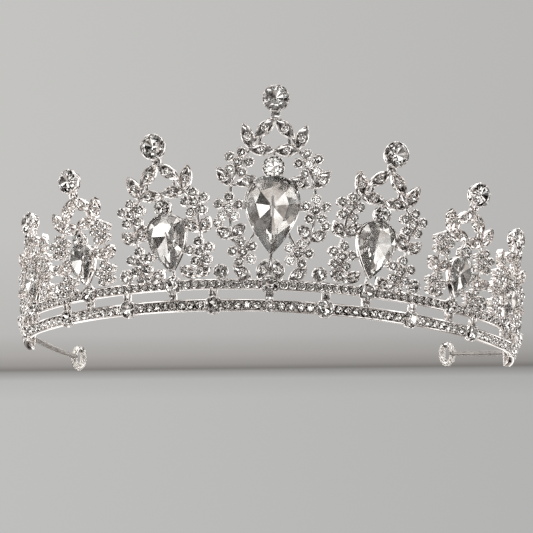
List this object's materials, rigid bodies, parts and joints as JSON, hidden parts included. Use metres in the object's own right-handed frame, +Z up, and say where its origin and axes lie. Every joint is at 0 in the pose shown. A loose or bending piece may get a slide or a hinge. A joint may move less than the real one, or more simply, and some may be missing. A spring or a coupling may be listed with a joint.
{
  "type": "tiara",
  "caption": "Open headband tiara of stone-set leaf and flower motifs with pear drops and round points on two stone-set rails, with plain end wires that end in hair grip loops.",
  "frame": {"origin": "centre of the bounding box in plan, at the height of the lowest stone cups, so that the tiara stands on its lower rail at z = 0", "axes": "+X to the wearer-facing viewer's right along the width, +Y backwards from the front panel to the end loops, +Z up"},
  "size_m": [0.1498, 0.1112, 0.051],
  "materials": {
    "silver_plate": "bright silver-tone plating",
    "clear_crystal": "clear cut glass, foil backed",
    "clear_silicone": "clear soft sleeve, glossy"
  },
  "bodies": {
    "root": {"lower_band": "silver_plate", "upper_band": "silver_plate", "band_posts": "silver_plate", "lower_cups": "silver_plate", "upper_cups": "silver_plate", "lower_cup_stones": "clear_crystal", "upper_cup_stones": "clear_crystal", "lower_band_stones": "clear_crystal", "upper_band_stones": "clear_crystal", "spacer_cups": "silver_plate", "spacer_stones": "clear_crystal", "centre_casting": "silver_plate", "centre_pave": "clear_crystal", "centre_pear": "clear_crystal", "centre_rounds": "clear_crystal", "left1_casting": "silver_plate", "left1_pave": "clear_crystal", "left1_pear": "clear_crystal", "left1_rounds": "clear_crystal", "left2_casting": "silver_plate", "left2_pave": "clear_crystal", "left2_pear": "clear_crystal", "left2_rounds": "clear_crystal", "left3_casting": "silver_plate", "left3_pave": "clear_crystal", "left3_pear": "clear_crystal", "left3_rounds": "clear_crystal", "left4_casting": "silver_plate", "left4_pave": "clear_crystal", "left4_pear": "clear_crystal", "left4_rounds": "clear_crystal", "right1_casting": "silver_plate", "right1_pave": "clear_crystal", "right1_pear": "clear_crystal", "right1_rounds": "clear_crystal", "right2_casting": "silver_plate", "right2_pave": "clear_crystal", "right2_pear": "clear_crystal", "right2_rounds": "clear_crystal", "right3_casting": "silver_plate", "right3_pave": "clear_crystal", "right3_pear": "clear_crystal", "right3_rounds": "clear_crystal", "right4_casting": "silver_plate", "right4_pave": "clear_crystal", "right4_pear": "clear_crystal", "right4_rounds": "clear_crystal", "left_wire": "silver_plate", "right_wire": "silver_plate", "left_sleeve": "clear_silicone", "right_sleeve": "clear_silicone"}
  },
  "joints": []
}
